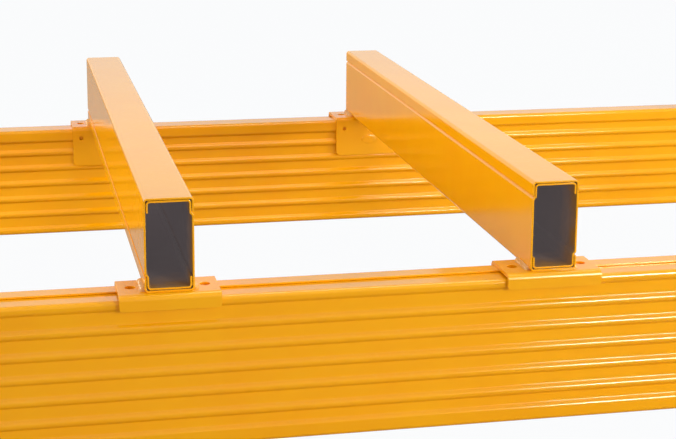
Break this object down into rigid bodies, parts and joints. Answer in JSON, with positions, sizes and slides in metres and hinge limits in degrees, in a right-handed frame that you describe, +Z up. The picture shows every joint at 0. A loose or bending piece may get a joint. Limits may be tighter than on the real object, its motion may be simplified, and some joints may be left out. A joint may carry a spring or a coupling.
{
  "type": "racking beam level with raised cross bearers",
  "caption": "Ribbed box beams lying parallel, carrying raised open-ended cross bearers on welded hook-over saddles; hooked connectors with locking pins at the beam ends.",
  "frame": {"origin": "on the floor plane, midway between the two beams and midway along them", "axes": "+X along the beams to the right, +Y from the front beam to the rear beam, +Z up"},
  "size_m": [1.596, 0.928, 0.26],
  "materials": {
    "beam_paint": "gloss yellow powder coat",
    "bearer_paint": "gloss yellow powder coat",
    "saddle_paint": "gloss yellow powder coat",
    "connector_paint": "gloss yellow powder coat",
    "weld_paint": "gloss yellow powder coat over weld bead",
    "pin_zinc": "bright zinc plated"
  },
  "bodies": {
    "beams": {"front_beam_inner_channel": "beam_paint", "front_beam_outer_channel": "beam_paint", "rear_beam_inner_channel": "beam_paint", "rear_beam_outer_channel": "beam_paint", "front_beam_left_connector": "connector_paint", "front_beam_left_end_weld": "weld_paint", "front_beam_right_connector": "connector_paint", "front_beam_right_end_weld": "weld_paint", "rear_beam_left_connector": "connector_paint", "rear_beam_left_end_weld": "weld_paint", "rear_beam_right_connector": "connector_paint", "rear_beam_right_end_weld": "weld_paint"},
    "left_bearer": {"left_bearer_upper_channel": "bearer_paint", "left_bearer_lower_channel": "bearer_paint", "left_bearer_front_saddle": "saddle_paint", "left_bearer_front_beads": "weld_paint", "left_bearer_rear_saddle": "saddle_paint", "left_bearer_rear_beads": "weld_paint"},
    "right_bearer": {"right_bearer_upper_channel": "bearer_paint", "right_bearer_lower_channel": "bearer_paint", "right_bearer_front_saddle": "saddle_paint", "right_bearer_front_beads": "weld_paint", "right_bearer_rear_saddle": "saddle_paint", "right_bearer_rear_beads": "weld_paint"},
    "front_left_lock_pin": {"front_beam_left_lock_pin": "pin_zinc"},
    "front_right_lock_pin": {"front_beam_right_lock_pin": "pin_zinc"},
    "rear_left_lock_pin": {"rear_beam_left_lock_pin": "pin_zinc"},
    "rear_right_lock_pin": {"rear_beam_right_lock_pin": "pin_zinc"}
  },
  "joints": [
    {"name": "left_bearer_slide", "type": "slide", "parent": "beams", "child": "left_bearer", "axis": [1, 0, 0], "range_m": [-0.49, 0.145]},
    {"name": "right_bearer_slide", "type": "slide", "parent": "beams", "child": "right_bearer", "axis": [1, 0, 0], "range_m": [-0.145, 0.49]},
    {"name": "front_left_lock_pin_pull", "type": "slide", "parent": "beams", "child": "front_left_lock_pin", "axis": [0, -1, 0], "range_m": [0, 0.024]},
    {"name": "front_right_lock_pin_pull", "type": "slide", "parent": "beams", "child": "front_right_lock_pin", "axis": [0, -1, 0], "range_m": [0, 0.024]},
    {"name": "rear_left_lock_pin_pull", "type": "slide", "parent": "beams", "child": "rear_left_lock_pin", "axis": [0, 1, 0], "range_m": [0, 0.024]},
    {"name": "rear_right_lock_pin_pull", "type": "slide", "parent": "beams", "child": "rear_right_lock_pin", "axis": [0, 1, 0], "range_m": [0, 0.024]}
  ]
}
